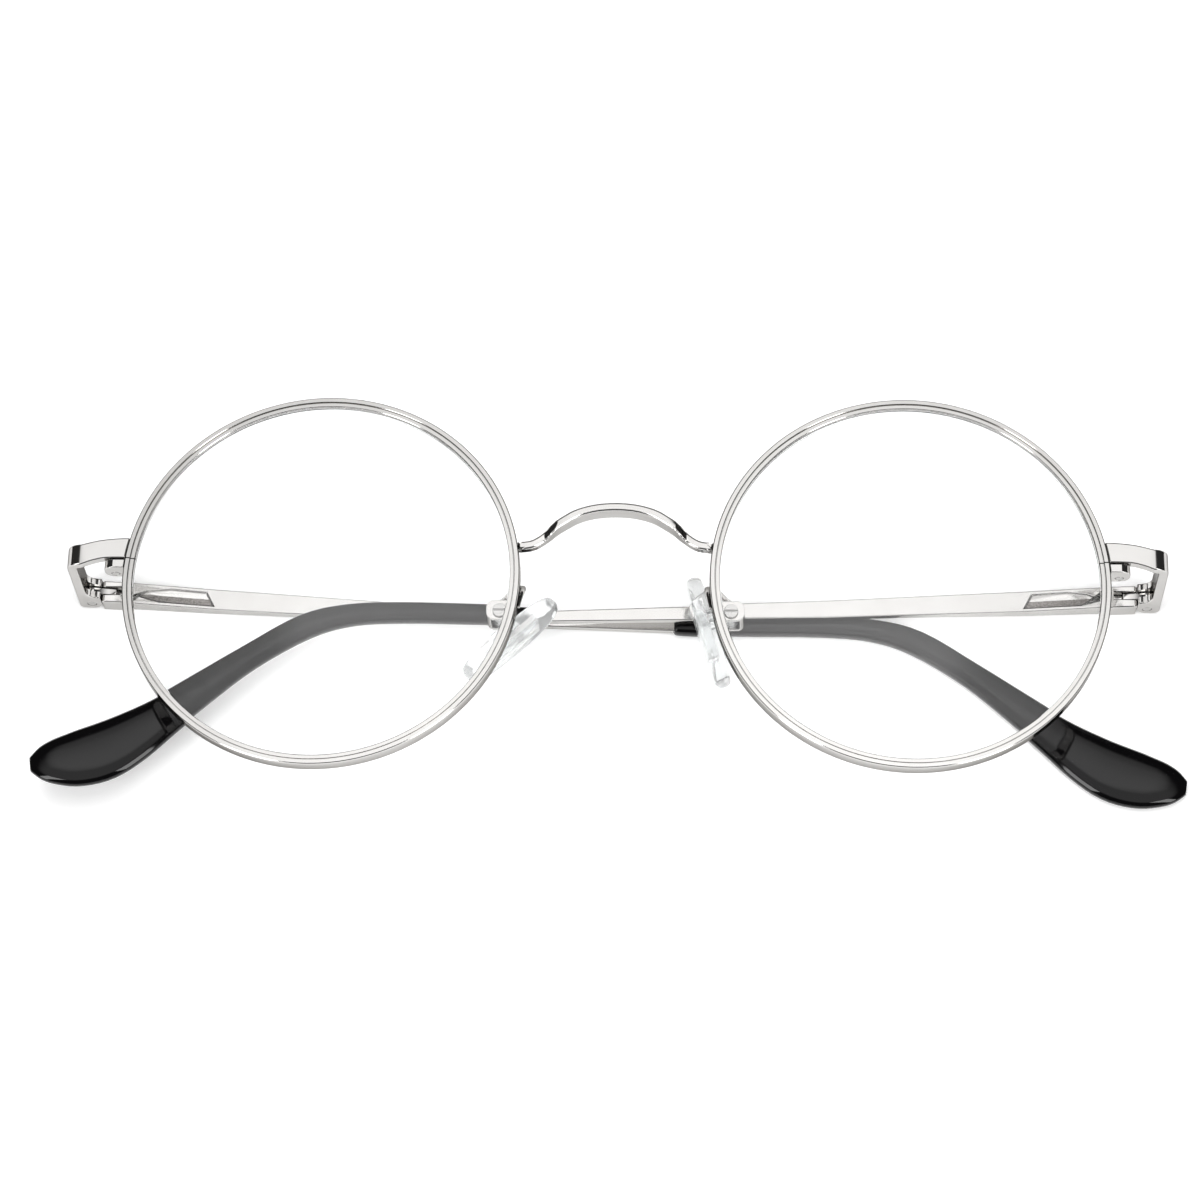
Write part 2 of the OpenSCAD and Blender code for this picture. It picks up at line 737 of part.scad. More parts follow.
module flex_stop(side) {
    color(steel) at_temple(side) translate([rod_end - stop_t, hinge_y, chamber_w]) rotate([0, 90, 0])
        difference() {
            cylinder(r = stop_r, h = stop_t);
            translate([0, 0, -over]) cylinder(r = rod_r + braze, h = stop_t + 2 * over);
        }
}

module flex_spring(side) {
    coil_r = chamber_r - spring_wire / 2 - fit;
    color(steel) at_temple(side) wire([
        for (i = [0 : spring_steps * spring_turns])
            let (a = 360 * i / spring_steps)
                [spring_start + spring_len * i / (spring_steps * spring_turns),
                    hinge_y + coil_r * cos(a), chamber_w + coil_r * sin(a)]
    ], spring_wire / 2, [1, 0, 0]);
}

module pad_arm(side) {
    path = smooth(concat(
        [for (f = arm_feet)
            let (r = rim_r + braze + f[2] * arm_d / 2)
                concat(from_lens([-r * cos(f[0]), -r * sin(f[0]), -f[1]]), [f[2]])],
        [for (p = concat(arm_loop, arm_end)) [nose_x + p[0], p[1], p[2], 1]]
    ), 6);
    color(metal) sided(side) translate([0, 0, front_h])
        wire([for (p = path) [p[0], p[1], p[2]]], [for (p = path) p[3] * arm_d / 2], [1, 0, 0.3]);
}

// The pad box's outer shape: a small case with a round outer end
module box_shape() {
    translate([0, 0, front_h + box_back]) linear_extrude(box_front - box_back) polygon(concat(
        [[pivot[0] - box_in, pivot[1] + box_top], [pivot[0] - box_in, pivot[1] - box_low]],
        arc([pivot[0] + box_out - box_round, pivot[1] - box_low + box_round], box_round, -90, 0, 6),
        arc([pivot[0] + box_out - box_round, pivot[1] + box_top - box_round], box_round, 0, 90, 6)
    ));
}

module pad_box(side) {
    color(metal) sided(side) difference() {
        box_shape();
        translate([pivot[0] - box_in - over, pivot[1] - box_low - over, front_h + box_back + box_wall])
            cube([
                box_in + lug_r + lug_room[0] + over, box_low + lug_r + lug_room[1] + over,
                box_front - box_back - 2 * box_wall
            ]);
        translate([pivot[0], pivot[1], front_h + box_back - over])
            cylinder(r = pad_pin_r + fit, h = box_front - box_back + 2 * over);
    }
}

module pad_screw(side) {
    head_z = front_h + box_front + braze;
    color(steel) sided(side) difference() {
        union() {
            translate([pivot[0], pivot[1], front_h + box_back])
                cylinder(r = pad_pin_r, h = box_front - box_back + pad_pin_end);
            translate([pivot[0], pivot[1], head_z]) cylinder(r = pad_head_r, h = pad_head_h);
        }
        translate([pivot[0] - pad_head_r - over, pivot[1] - screw_slot / 2, head_z + pad_head_h - screw_slot])
            cube([2 * (pad_head_r + over), screw_slot, screw_slot + over]);
    }
}

// Draws in the pad's own directions: X down its length, Y away from the nose, Z as the front
module at_pad(side) {
    turn = side > 0 ? left_pad_turn : right_pad_turn;
    sided(side) translate([pivot[0], pivot[1], front_h]) rotate([0, 0, turn - 90]) children();
}

module insert_plate(room) {
    translate([pad_along - insert_l / 2 - room, -pad_off - insert_t / 2 - room, pad_z - insert_w / 2 - room])
        cube([insert_l + 2 * room, insert_t + 2 * room, insert_w + 2 * room]);
}

module insert_web(room) {
    lug_z = (box_front + box_back) / 2;
    lug_l = box_front - box_back - 2 * box_wall - 2 * side_fit;
    translate([-lug_web / 2 - room, -pad_off - room, lug_z - lug_l / 2 - room])
        cube([lug_web + 2 * room, pad_off + room, lug_l + 2 * room]);
}

module pad_insert(side) {
    lug_z = (box_front + box_back) / 2;
    lug_l = box_front - box_back - 2 * box_wall - 2 * side_fit;
    color(clear_hard) at_pad(side) difference() {
        union() {
            insert_plate(0);
            insert_web(0);
            translate([0, 0, lug_z - lug_l / 2]) cylinder(r = lug_r, h = lug_l);
        }
        translate([0, 0, lug_z - lug_l]) cylinder(r = pad_pin_r + fit, h = 2 * lug_l);
    }
}

module nose_pad(side) {
    color(clear_soft) at_pad(side) difference() {
        translate([pad_along, -pad_off + pad_t / 2, pad_z]) skin([
            for (s = pad_layers)
                [for (k = [0 : pad_sides - 1])
                    let (a = 360 * k / pad_sides)
                        [(pad_l / 2 - (1 - s[1]) * pad_w / 2) * squarish(cos(a), pad_square[0]),
                            -pad_t * s[0],
                            s[1] * pad_w / 2 * squarish(sin(a), pad_square[1])]]
        ]);
        insert_plate(insert_fit);
        insert_web(insert_fit);
    }
}

bridge();
rim(1);  // left_rim
rim(-1);  // right_rim
lens(1);  // left_lens
lens(-1);  // right_lens
endpiece(1);  // left_endpiece
endpiece(-1);  // right_endpiece
rim_lock_upper(1);  // left_rim_lock_upper
rim_lock_upper(-1);  // right_rim_lock_upper
rim_lock_lower(1);  // left_rim_lock_lower
rim_lock_lower(-1);  // right_rim_lock_lower
rim_lock_screw(1);  // left_rim_lock_screw
rim_lock_screw(-1);  // right_rim_lock_screw
hinge_screw(1);  // left_hinge_screw
hinge_screw(-1);  // right_hinge_screw
hinge_tongue(1);  // left_hinge_tongue
hinge_tongue(-1);  // right_hinge_tongue
flex_spring(1);  // left_flex_spring
flex_spring(-1);  // right_flex_spring
flex_stop(1);  // left_flex_stop
flex_stop(-1);  // right_flex_stop
temple_bar(1);  // left_temple_bar
temple_bar(-1);  // right_temple_bar
temple_tip(1);  // left_temple_tip
temple_tip(-1);  // right_temple_tip
pad_arm(1);  // left_pad_arm
pad_arm(-1);  // right_pad_arm
pad_box(1);  // left_pad_box
pad_box(-1);  // right_pad_box
pad_screw(1);  // left_pad_screw
pad_screw(-1);  // right_pad_screw
pad_insert(1);  // left_pad_insert
pad_insert(-1);  // right_pad_insert
nose_pad(1);  // left_nose_pad
nose_pad(-1);  // right_nose_pad
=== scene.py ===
"""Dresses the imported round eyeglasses: polished metal, clear lenses and pads, glossy black tips."""

import json
import math

import bmesh
import bpy
from bpy.props import FloatProperty, FloatVectorProperty, IntProperty, PointerProperty, StringProperty
from mathutils import Matrix, Vector


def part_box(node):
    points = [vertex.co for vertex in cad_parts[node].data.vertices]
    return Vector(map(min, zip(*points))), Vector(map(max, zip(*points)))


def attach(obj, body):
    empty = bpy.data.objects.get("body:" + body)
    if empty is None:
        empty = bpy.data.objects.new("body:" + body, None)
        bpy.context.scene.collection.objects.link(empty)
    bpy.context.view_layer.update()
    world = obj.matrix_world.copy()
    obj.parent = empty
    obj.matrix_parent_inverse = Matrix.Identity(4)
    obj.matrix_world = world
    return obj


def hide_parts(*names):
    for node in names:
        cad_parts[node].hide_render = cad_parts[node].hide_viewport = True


bl_info = {
    "name": "Round Eyeglasses",
    "version": (1, 0, 0),
    "blender": (4, 5, 0),
    "location": "3D View > Sidebar > Eyeglasses",
    "description": "Rims, lenses, bridge, hinges, temples and nose pads of a folded pair of round eyeglasses",
    "category": "Add Mesh",
}

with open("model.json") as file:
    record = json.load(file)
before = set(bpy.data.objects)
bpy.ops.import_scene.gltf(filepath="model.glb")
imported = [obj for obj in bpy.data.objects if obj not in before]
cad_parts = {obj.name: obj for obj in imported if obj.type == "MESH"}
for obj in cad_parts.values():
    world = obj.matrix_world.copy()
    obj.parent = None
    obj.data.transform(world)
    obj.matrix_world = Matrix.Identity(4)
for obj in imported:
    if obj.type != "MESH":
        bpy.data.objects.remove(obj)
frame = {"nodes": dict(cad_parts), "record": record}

MM = 0.001
SIDES = {"left": 1, "right": -1}
RADIANS = math.radians

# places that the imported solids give: the left rim's middle and radius, and the left hinge pin
RIM_LOW, RIM_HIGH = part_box("left_rim")
RIM_MIDDLE = (RIM_LOW[0] + RIM_HIGH[0]) / 2
RIM_RADIUS = (RIM_HIGH[1] - RIM_LOW[1]) / 2
PIN_LOW, PIN_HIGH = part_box("left_hinge_screw")
PIN = Vector(((PIN_LOW[0] + PIN_HIGH[0]) / 2, 0, (PIN_LOW[2] + PIN_HIGH[2]) / 2))
PIN_Y = (PIN_LOW[1] + PIN_HIGH[1]) / 2

# the rim band's section in mm, outwards from its inner or outer edge and upwards from its front plane,
# drawn for one depth and scaled to the depth that is set
RIM_DRAWN_DEPTH = 2.06 * MM
RIM_FRONT_STEP = (
    (0, -0.27), (0.02, -0.19), (0.08, -0.13), (0.5, -0.13), (0.55, -0.24), (0.6, -0.24), (0.64, -0.04),
    (0.68, 0),
)
RIM_OUTSIDE = (
    (-0.15, 0), (-0.06, -0.05), (-0.01, -0.15), (0, -0.28), (0, -1.81), (-0.02, -1.94), (-0.09, -2.02),
    (-0.22, -2.06),
)
RIM_BACK_AND_GROOVE = (
    (0.22, -2.06), (0.08, -2.0), (0, -1.88), (0, -1.5), (0.55, -1.12), (0.55, -0.94), (0, -0.56),
)
# the rim's cut, which the rim lock closes, and its height above the lens's middle
SPLIT_WIDTH = 0.16 * MM
SPLIT_HEIGHT = 3.0 * MM

# the lens: its room inside the rim, its rings from the middle out, and the V round its edge, which
# reaches into the groove, with its half thickness at the root and at the tip
LENS_ROOM = 0.1 * MM
LENS_RINGS = 24
LENS_V_REACH = 0.58 * MM
LENS_V_ROOT = 0.45 * MM
LENS_V_TIP = 0.02 * MM

# the temple bar, along it from the pin: its middle line falls, and its inner face sinks from a height
BAR_FALL = 0.0568
BAR_FACE_FROM = 5.6 * MM
BAR_FACE_HEIGHT = 2.2 * MM
BAR_FACE_FALL = 0.055
# the scooped panel: half its depth tells its floor from the bar's face, and its end is rounded
SCOOP_HALF_DEPTH = 0.15 * MM
SCOOP_END_ROOM = 1 * MM
SCOOP_MIDDLE = 11 * MM
# cosine of the widest turn at which a face of the bar still looks straight inwards
LOOKS_INWARDS = 0.9

# round the hinge pin the knuckles, and the slot that the tongue runs in, keep crisp edges
KNUCKLE_REACH = 1.9 * MM
SLOT_REACH = 4.2 * MM
SLOT_HALF = 0.6 * MM
# the other edges are rounded from this angle on, each piece's by its share of the edge rounding
ROUNDED_FROM = RADIANS(35)
ROUNDED_SEGMENTS = 3
ROUNDED_SHARES = {
    "bridge": 1.4,
    "endpiece": 1.0,
    "rim_lock_upper": 0.6,
    "rim_lock_lower": 0.6,
    "temple_bar": 0.8,
    "hinge_tongue": 0.5,
    "small_part": 0.4,
}
# angles from which an edge is shaded sharp: on a machined solid, a spun piece, a curved one and a soft one
SHARP_SOLID = RADIANS(32)
SHARP_SPUN = RADIANS(24)
SHARP_CURVED = RADIANS(50)
SHARP_SOFT = RADIANS(80)
# points this close are one point, and triangles this level with each other are one face
JOINED = 0.002 * MM
JOINED_FINE = 0.001 * MM
LEVEL = RADIANS(0.6)

# the Mix node's colour sockets, which share their names with its other sockets
MIX_A, MIX_B, MIX_RESULT = 6, 7, 2

# the studio: the overhead light begins and is full at these sines of the height, and the panel's at these
# cosines of the angle from its middle
SKY_EDGE = (0.85, 0.96)
PANEL_EDGE = (0.95, 0.982)
# half the table's side, in metres, and the camera's sensor, in millimetres
TABLE_REACH = 1.5
SENSOR_WIDTH = 36.0
# each lamp's name, place and size in metres, power in watts, and whether metal and glass mirror it
LAMPS = (
    ("key_softbox", (0.0, 0.07, 0.9), (0.6, 0.6), 3.5, False),
    ("left_strip", (-0.48, -0.5, 0.55), (0.22, 0.8), 3.2, True),
    ("right_strip", (0.48, -0.5, 0.55), (0.22, 0.8), 3.2, True),
)


class EyeglassesFinish(bpy.types.PropertyGroup):
    """Colours and surface finish of the eyeglasses"""

    metal_colour: StringProperty(
        name="Metal", description="Colour of the plated metal", default="#DBDAD8",
    )
    steel_colour: StringProperty(
        name="Screws", description="Colour of the turned steel screws", default="#C9C9C8",
    )
    tip_colour: StringProperty(
        name="Tips", description="Colour of the black temple tips", default="#060607",
    )
    lens_tint: StringProperty(
        name="Lens tint", description="Faint tint of the clear lenses", default="#FDFDFD",
    )
    pad_tint: StringProperty(
        name="Pad tint", description="Tint of the clear soft nose pads", default="#F8F9F9",
    )
    edge_width: FloatProperty(
        name="Edge rounding", description="Rounding of the metal's edges", default=0.22 * MM,
        min=0.02 * MM, max=0.4 * MM, subtype="DISTANCE", unit="LENGTH",
    )
    grain_mm: FloatProperty(
        name="Polishing grain", description="Width of the polishing marks in millimetres",
        default=0.12, min=0.03, max=1.0,
    )


class EyeglassesShape(bpy.types.PropertyGroup):
    """Sizes of the rims, lenses and pads"""

    rim_steps: IntProperty(
        name="Rim steps", description="Number of sections round a rim", default=240, min=64, max=480,
    )
    rim_width: FloatProperty(
        name="Rim width", description="Width of the rim seen from the front", default=1.3 * MM,
        min=1.1 * MM, max=2 * MM, subtype="DISTANCE", unit="LENGTH",
    )
    rim_depth: FloatProperty(
        name="Rim depth", description="Depth of the rim from front to back", default=2.06 * MM,
        min=1.8 * MM, max=3 * MM, subtype="DISTANCE", unit="LENGTH",
    )
    wrap: FloatProperty(
        name="Wrap", description="Turn of each lens plane, outer side back", default=RADIANS(2.0),
        min=0.0, max=RADIANS(6.0), subtype="ANGLE", unit="ROTATION",
    )
    lens_bulge: FloatProperty(
        name="Lens bulge", description="How far the middle of the lens stands in front of the rim",
        default=1.4 * MM, min=0.8 * MM, max=1.8 * MM, subtype="DISTANCE", unit="LENGTH",
    )
    lens_radius: FloatProperty(
        name="Lens radius", description="Radius of the lens's front surface", default=165 * MM,
        min=120 * MM, max=400 * MM, subtype="DISTANCE", unit="LENGTH",
    )
    lens_thickness: FloatProperty(
        name="Lens thickness", description="Thickness of the lens", default=1.5 * MM,
        min=1.2 * MM, max=1.8 * MM, subtype="DISTANCE", unit="LENGTH",
    )
    left_tilt: FloatProperty(
        name="Left tilt", description="Tilt of the folded left temple, which lies on the right one",
        default=RADIANS(2.3), min=0.0, max=RADIANS(6.0), subtype="ANGLE", unit="ROTATION",
    )
    scoop_from: FloatProperty(
        name="Scoop start", description="Distance from the hinge pin to the front of the scooped panel",
        default=6 * MM, min=5 * MM, max=8 * MM, subtype="DISTANCE", unit="LENGTH",
    )
    scoop_to: FloatProperty(
        name="Scoop end", description="Distance from the hinge pin to the end of the scooped panel",
        default=16.2 * MM, min=12 * MM, max=18 * MM, subtype="DISTANCE", unit="LENGTH",
    )


class EyeglassesView(bpy.types.PropertyGroup):
    """Camera and light of the stage"""

    elevation: FloatProperty(
        name="Elevation", description="Height of the camera above the table, as an angle",
        default=RADIANS(66.2), subtype="ANGLE", unit="ROTATION",
    )
    yaw: FloatProperty(
        name="Turn", description="Turn of the camera about the lenses' up direction",
        default=RADIANS(1.82), subtype="ANGLE", unit="ROTATION",
    )
    roll: FloatProperty(
        name="Roll", description="Turn of the picture",
        default=RADIANS(1.022), subtype="ANGLE", unit="ROTATION",
    )
    distance: FloatProperty(
        name="Distance", description="Distance from the camera to the middle of the front",
        default=483.4 * MM, subtype="DISTANCE", unit="LENGTH",
    )
    focal: FloatProperty(name="Focal length", description="Focal length on a 36 mm sensor", default=113.04)
    offset: FloatVectorProperty(
        name="Offset", description="Shift of the picture", size=2, default=(-0.0123, -0.0181),
    )
    front_height: FloatProperty(
        name="Front height", description="Height of the rims' front plane above the table",
        default=15 * MM, subtype="DISTANCE", unit="LENGTH",
    )
    panel_light: FloatProperty(
        name="Panel light", description="Brightness that the panel behind the object adds",
        default=0.84, min=0.0, max=4.0,
    )
    sky_light: FloatProperty(
        name="Overhead light", description="Brightness of the studio overhead",
        default=0.85, min=0.0, max=4.0,
    )
    floor_lift: FloatProperty(
        name="Floor lift", description="Glow that makes the pale table show as white",
        default=0.3, min=0.0, max=1.0,
    )
    horizon_light: FloatProperty(
        name="Horizon light", description="Brightness of the studio at the horizon",
        default=0.03, min=0.0, max=4.0,
    )


def user_values(group):
    """The values of one property group: finish, shape or view."""
    return getattr(bpy.context.scene, f"eyeglasses_{group}")


def linear(colour):
    """Turns an sRGB hex colour to linear red, green, blue and alpha."""
    parts = [int(colour[i:i + 2], 16) / 255 for i in (1, 3, 5)]
    return tuple(c / 12.92 if c <= 0.04045 else ((c + 0.055) / 1.055) ** 2.4 for c in parts) + (1.0,)


def set_inputs(tree, node, inputs):
    """Sets a node's inputs to values, or links them from sockets."""
    for name, value in inputs.items():
        if isinstance(value, bpy.types.NodeSocket):
            tree.links.new(value, node.inputs[name])
        else:
            node.inputs[name].default_value = value


def add_node(tree, kind, settings=None, inputs=None):
    """Adds a node; settings are its attributes, and inputs are values, or sockets to link from."""
    node = tree.nodes.new(kind)
    for name, value in (settings or {}).items():
        setattr(node, name, value)
    set_inputs(tree, node, inputs or {})
    return node


def new_material(name):
    """An empty node material, with its Principled shader and its Object coordinates."""
    made = bpy.data.materials.new(name)
    made.use_nodes = True
    tree = made.node_tree
    tree.nodes.clear()
    shader = add_node(tree, "ShaderNodeBsdfPrincipled")
    output = add_node(tree, "ShaderNodeOutputMaterial")
    tree.links.new(shader.outputs["BSDF"], output.inputs["Surface"])
    place = add_node(tree, "ShaderNodeTexCoord").outputs["Object"]
    return made, tree, shader, place


def show_instead(tree, socket):
    """Shows another shader, one that holds the Principled shader, as the material's surface."""
    output = next(node for node in tree.nodes if node.type == "OUTPUT_MATERIAL")
    tree.links.new(socket, output.inputs["Surface"])


def polished_metal(name, colour, grain, rough):
    """Metal worked to a mirror, with fine marks that roughen it a little and a tone that drifts."""
    made, tree, shader, place = new_material(name)
    # real marks are some hundredths of a millimetre wide; these are drawn coarser so that they show
    marks = add_node(tree, "ShaderNodeTexNoise", inputs={
        "Vector": place, "Scale": 1 / (grain * MM), "Detail": 3.0, "Roughness": 0.6})
    # the tone drifts over about 4 mm
    cloud = add_node(tree, "ShaderNodeTexNoise", inputs={
        "Vector": place, "Scale": 1 / (4 * MM), "Detail": 2.0})
    roughness = add_node(tree, "ShaderNodeMapRange", inputs={
        "Value": marks.outputs["Fac"], "To Min": rough * 0.7, "To Max": rough * 1.4})
    tone = add_node(tree, "ShaderNodeMix", {"data_type": "RGBA"}, {
        "Factor": cloud.outputs["Fac"], MIX_A: linear(colour), MIX_B: linear("#D2D0CE")})
    bump = add_node(tree, "ShaderNodeBump", inputs={
        "Height": marks.outputs["Fac"], "Strength": 0.06, "Distance": 0.01 * MM})
    set_inputs(tree, shader, {
        "Base Color": tone.outputs[MIX_RESULT], "Roughness": roughness.outputs["Result"],
        "Normal": bump.outputs["Normal"], "Metallic": 1.0,
        # the metal dulls where it is seen at a low angle, which draws a dark line along each rounded edge
        "Specular Tint": linear("#7A7876")})
    return made


def blasted_and_shaded_metal(name):
    """Plated metal blasted with grit: dull, with a sparkle of small pits, and a darker tone that is painted
    shade.
    """
    made, tree, shader, place = new_material(name)
    # the pits of fine grit are about 0.1 mm wide; they are drawn 0.22 mm wide so that they show
    grit = add_node(tree, "ShaderNodeTexVoronoi", inputs={"Vector": place, "Scale": 1 / (0.22 * MM)})
    # the dark tone is partly painted shade: it darkens the flat-drawn lower half of the scoop's floor as the
    # shaded lower part of a concave floor would be, while the pits stand for the real grit
    tone = add_node(tree, "ShaderNodeMix", {"data_type": "RGBA"}, {
        "Factor": grit.outputs["Distance"], MIX_A: linear("#B8B4B0"), MIX_B: linear("#6E6A68")})
    bump = add_node(tree, "ShaderNodeBump", inputs={
        "Height": grit.outputs["Distance"], "Strength": 0.7, "Distance": 0.06 * MM})
    set_inputs(tree, shader, {
        "Base Color": tone.outputs[MIX_RESULT], "Roughness": 0.32, "Normal": bump.outputs["Normal"],
        "Metallic": 1.0})
    return made


def tumbled_black(name, colour):
    """Black plastic tumbled to a gloss: deep black with a soft clear shine and faint ripples."""
    made, tree, shader, place = new_material(name)
    # tumbling leaves ripples about 6 mm long, and patches of 1.5 mm that are a little less glossy
    ripple = add_node(tree, "ShaderNodeTexNoise", inputs={
        "Vector": place, "Scale": 1 / (6 * MM), "Detail": 2.0})
    patches = add_node(tree, "ShaderNodeTexNoise", inputs={
        "Vector": place, "Scale": 1 / (1.5 * MM), "Detail": 1.0})
    roughness = add_node(tree, "ShaderNodeMapRange", inputs={
        "Value": patches.outputs["Fac"], "To Min": 0.05, "To Max": 0.07})
    bump = add_node(tree, "ShaderNodeBump", inputs={
        "Height": ripple.outputs["Fac"], "Strength": 0.15, "Distance": 0.15 * MM})
    tone = add_node(tree, "ShaderNodeMix", {"data_type": "RGBA"}, {
        "Factor": ripple.outputs["Fac"], MIX_A: linear(colour), MIX_B: linear("#0C0B0C")})
    set_inputs(tree, shader, {
        "Base Color": tone.outputs[MIX_RESULT], "Roughness": roughness.outputs["Result"],
        "Normal": bump.outputs["Normal"], "IOR": 1.48, "Specular IOR Level": 0.4})
    return made


def clear_solid(name, tint, ior, haze, shadow, clear=1.0):
    """A clear solid: light passes, and its shadow is only as dark as the real one's."""
    made, tree, shader, place = new_material(name)
    # the haze comes and goes over about 2.5 mm
    cloud = add_node(tree, "ShaderNodeTexNoise", inputs={
        "Vector": place, "Scale": 1 / (2.5 * MM), "Detail": 2.0})
    roughness = add_node(tree, "ShaderNodeMapRange", inputs={
        "Value": cloud.outputs["Fac"], "To Min": 0.0, "To Max": haze})
    set_inputs(tree, shader, {
        "Base Color": linear(tint), "Roughness": roughness.outputs["Result"], "IOR": ior,
        "Transmission Weight": clear})
    passing = add_node(tree, "ShaderNodeBsdfTransparent", inputs={"Color": linear(shadow)})
    ray = add_node(tree, "ShaderNodeLightPath")
    mixed = add_node(tree, "ShaderNodeMixShader", inputs={
        0: ray.outputs["Is Shadow Ray"], 1: shader.outputs["BSDF"], 2: passing.outputs["BSDF"]})
    show_instead(tree, mixed.outputs["Shader"])
    return made


def material(kind):
    """The named finish, made once."""
    made = bpy.data.materials.get(kind)
    if made:
        return made
    look = user_values("finish")
    makers = {
        # nickel alloy, plated silver-white and buffed: a bright mirror with very fine marks
        "polished_plating": lambda: polished_metal(kind, look.metal_colour, grain=look.grain_mm, rough=0.11),
        # stainless steel from a lathe: a duller mirror, with wider marks
        "turned_steel": lambda: polished_metal(kind, look.steel_colour, grain=0.3, rough=0.2),
        # the plated alloy again, blasted inside the scooped panel: dull beside the mirror round it, and
        # darker with painted shade
        "blasted_and_shaded_panel": lambda: blasted_and_shaded_metal(kind),
        # cellulose acetate, tumbled: deep black with a soft clear shine
        "tumbled_black_acetate": lambda: tumbled_black(kind, look.tip_colour),
        # hard resin, cast and polished: perfectly clear, seen only by its edge and its reflections
        "cast_resin_lens": lambda: clear_solid(kind, look.lens_tint, ior=1.5, haze=0.0, shadow="#FBFCFC"),
        # soft silicone from a satin mould: clear with a slight haze
        "moulded_silicone": lambda: clear_solid(
            kind, look.pad_tint, ior=1.3, haze=0.08, shadow="#F0F2F2", clear=0.82),
        # hard polycarbonate inside the pad: clear, and bright at its edges
        "moulded_polycarbonate": lambda: clear_solid(
            kind, look.pad_tint, ior=1.45, haze=0.04, shadow="#F6F7F7", clear=0.9),
    }
    return makers[kind]()


def add_piece(bm, name, kind, body, slot, nodes, sharp=SHARP_SOLID):
    """Makes an object of the mesh, smooth but for its sharp edges, and lets it ride and replace its nodes."""
    mesh = bpy.data.meshes.new(name)
    bm.to_mesh(mesh)
    bm.free()
    for face in mesh.polygons:
        face.use_smooth = True
    mesh.set_sharp_from_angle(angle=sharp)
    piece = bpy.data.objects.new(name, mesh)
    bpy.context.scene.collection.objects.link(piece)
    mesh.materials.append(material(kind))
    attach(piece, body)
    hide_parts(*nodes)
    return piece


def joined_copy(node):
    """The node's own mesh, with its loose triangles joined."""
    bm = bmesh.new()
    bm.from_mesh(frame["nodes"][node].data)
    bmesh.ops.remove_doubles(bm, verts=bm.verts, dist=JOINED)
    return bm


def whole_faced_copy(node):
    """The node's own mesh, with the triangles of each flat face made one face, ready for rounded edges."""
    bm = joined_copy(node)
    bmesh.ops.dissolve_limit(bm, angle_limit=LEVEL, verts=bm.verts, edges=bm.edges)
    return bm


def weigh_edges(bm, side):
    """Marks the sharp edges to be rounded, but not the small hinge knuckles' or the tongue's slot's."""
    weight = bm.edges.layers.float.new("bevel_weight_edge")
    bm.normal_update()
    for edge in bm.edges:
        middle = (edge.verts[0].co + edge.verts[1].co) / 2
        away = math.hypot(middle.x * side - PIN.x, middle.z - PIN.z)
        small = away < KNUCKLE_REACH or (away < SLOT_REACH and abs(middle.y - PIN_Y) < SLOT_HALF)
        edge[weight] = 0.0 if small or edge.calc_face_angle(0) < ROUNDED_FROM else 1.0


def round_edges(piece, part, weighed=False):
    """A live bevel on the piece's sharp edges, or only on its marked ones, with its flat faces kept flat."""
    bevel = piece.modifiers.new("rounded edges", "BEVEL")
    bevel.width = user_values("finish").edge_width * ROUNDED_SHARES[part]
    bevel.segments = ROUNDED_SEGMENTS
    bevel.limit_method = "WEIGHT" if weighed else "ANGLE"
    bevel.angle_limit = ROUNDED_FROM
    bevel.harden_normals = True
    bevel.use_clamp_overlap = False


def at_lens(side):
    """Place and turn of one lens, for the side's own mirror image."""
    place = Matrix.Translation((RIM_MIDDLE, 0, user_values("view").front_height))
    here = place @ Matrix.Rotation(user_values("shape").wrap, 4, "Y")
    return here if side > 0 else Matrix.Scale(-1, 4, (1, 0, 0)) @ here


def from_temple(side):
    """The temple's own directions, X along it from the pin, Y up its face and Z from its outer face."""
    tilt = user_values("shape").left_tilt if side > 0 else 0.0
    here = Matrix.Translation(PIN) @ Matrix.Scale(-1, 4, (1, 0, 0)) @ Matrix.Rotation(-tilt, 4, "Y")
    here = here @ Matrix.Translation((0, 0, -PIN[2]))
    return here if side > 0 else Matrix.Scale(-1, 4, (1, 0, 0)) @ here


def body_of_node(node):
    """The body that the record gives the node."""
    return next(name for name, nodes in frame["record"]["behaviour"]["bodies"].items() if node in nodes)


class EYEGLASSES_OT_rims(bpy.types.Operator):
    """Rims: a stepped band with a groove, spun round the lens and left open at the split"""

    bl_idname = "eyeglasses.rims"
    bl_label = "Rims"

    def execute(self, context):
        sizes = user_values("shape")
        inner = RIM_RADIUS - sizes.rim_width
        parts = ((inner, RIM_FRONT_STEP), (RIM_RADIUS, RIM_OUTSIDE), (inner, RIM_BACK_AND_GROOVE))
        section = [
            (edge + out * MM, up * MM * sizes.rim_depth / RIM_DRAWN_DEPTH)
            for edge, line in parts for out, up in line
        ]
        low = math.asin((SPLIT_HEIGHT - SPLIT_WIDTH / 2) / RIM_RADIUS)
        high = math.asin((SPLIT_HEIGHT + SPLIT_WIDTH / 2) / RIM_RADIUS)
        for name, side in SIDES.items():
            bm = bmesh.new()
            ring = [bm.verts.new((radius, 0, height)) for radius, height in section]
            face = bm.faces.new(ring)
            bmesh.ops.rotate(bm, verts=ring, cent=(0, 0, 0), matrix=Matrix.Rotation(high, 3, "Z"))
            bmesh.ops.spin(
                bm, geom=[face], cent=(0, 0, 0), axis=(0, 0, 1), angle=2 * math.pi - (high - low),
                steps=sizes.rim_steps, use_merge=False,
            )
            bmesh.ops.transform(bm, matrix=at_lens(side), verts=bm.verts)
            bmesh.ops.recalc_face_normals(bm, faces=bm.faces)
            add_piece(
                bm, f"{name}_rim_band", "polished_plating", "front", "frame_metal", [f"{name}_rim"],
                SHARP_SPUN)
        return {"FINISHED"}


